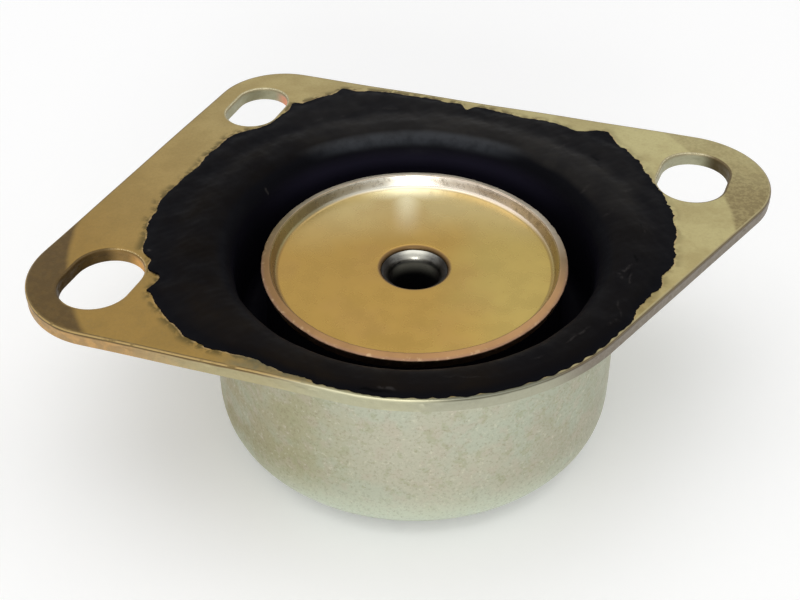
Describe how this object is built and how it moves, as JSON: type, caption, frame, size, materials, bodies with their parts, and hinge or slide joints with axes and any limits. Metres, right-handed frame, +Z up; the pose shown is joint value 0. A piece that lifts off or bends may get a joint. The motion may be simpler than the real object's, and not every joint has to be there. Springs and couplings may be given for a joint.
{
  "type": "transmission mount",
  "caption": "Bonded rubber transmission mount: drawn steel cup with a slotted flange, rubber spring, pressed top dish and a sleeve for the through bolt.",
  "frame": {"origin": "on the bolt axis, in the plane that the cup stands on", "axes": "+Z up along the bolt axis from the cup's bottom towards the dish; +Y along the line through the two left slots, away from the viewer; +X towards the side with the single slot"},
  "size_m": [0.1053, 0.0886, 0.0349],
  "materials": {
    "cup_plating": "matte yellow-olive zinc plating, greyer on the cup wall",
    "rubber": "matte black moulded rubber",
    "dish_plating": "satin golden zinc plating",
    "sleeve_steel": "plain turned steel, slightly oiled"
  },
  "bodies": {
    "root": {"flanged_cup": "cup_plating", "rubber_body": "rubber", "top_dish": "dish_plating", "inner_sleeve": "sleeve_steel"}
  },
  "joints": []
}
